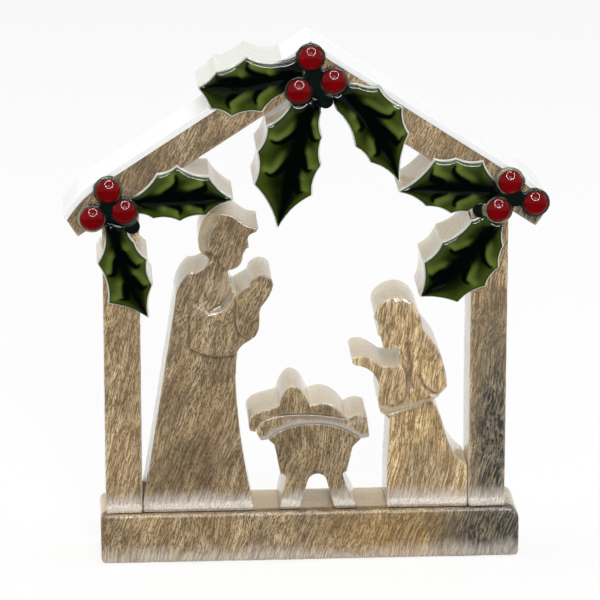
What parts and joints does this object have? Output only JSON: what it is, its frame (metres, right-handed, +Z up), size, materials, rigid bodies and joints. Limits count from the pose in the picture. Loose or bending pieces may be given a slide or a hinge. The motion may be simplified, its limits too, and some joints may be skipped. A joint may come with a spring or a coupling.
{
  "type": "wooden nativity stable",
  "caption": "Free-standing wooden nativity stable: carved plank scene with standing and kneeling figures and manger under a gabled roof, trimmed with enamelled holly sprigs and berries.",
  "frame": {"origin": "centre of the underside of the base plinth, at the middle of the plank's depth", "axes": "+Z up to the ridge of the roof, front of the scene faces -Y, +X to the viewer's right"},
  "size_m": [0.1781, 0.027, 0.1985],
  "materials": {
    "mango_wood": "sanded mango wood under glossy clear lacquer",
    "green_enamel": "glossy mid green enamel with near-black veins",
    "dark_enamel": "glossy near-black green enamel",
    "red_enamel": "glossy deep red enamel",
    "white_enamel": "glossy white enamel"
  },
  "bodies": {
    "root": {"apex_berry_1": "red_enamel", "apex_berry_2": "red_enamel", "apex_berry_3": "red_enamel", "apex_centre_leaf_block": "mango_wood", "apex_centre_leaf_enamel": "green_enamel", "apex_left_leaf_block": "mango_wood", "apex_left_leaf_enamel": "green_enamel", "apex_right_leaf_block": "mango_wood", "apex_right_leaf_enamel": "green_enamel", "apex_sprig_hub": "dark_enamel", "base_plinth": "mango_wood", "kneeling_figure": "mango_wood", "left_berry_1": "red_enamel", "left_berry_2": "red_enamel", "left_berry_3": "red_enamel", "left_hanging_leaf_block": "mango_wood", "left_hanging_leaf_enamel": "green_enamel", "left_inner_leaf_block": "mango_wood", "left_inner_leaf_enamel": "green_enamel", "left_post": "mango_wood", "left_rafter": "mango_wood", "left_roof_enamel": "white_enamel", "left_sprig_hub": "dark_enamel", "manger_bedding": "mango_wood", "manger_crib": "mango_wood", "right_berry_1": "red_enamel", "right_berry_2": "red_enamel", "right_berry_3": "red_enamel", "right_hanging_leaf_block": "mango_wood", "right_hanging_leaf_enamel": "green_enamel", "right_inner_leaf_block": "mango_wood", "right_inner_leaf_enamel": "green_enamel", "right_post": "mango_wood", "right_rafter": "mango_wood", "right_roof_enamel": "white_enamel", "right_sprig_hub": "dark_enamel", "standing_figure": "mango_wood", "swaddled_infant": "mango_wood"}
  },
  "joints": []
}
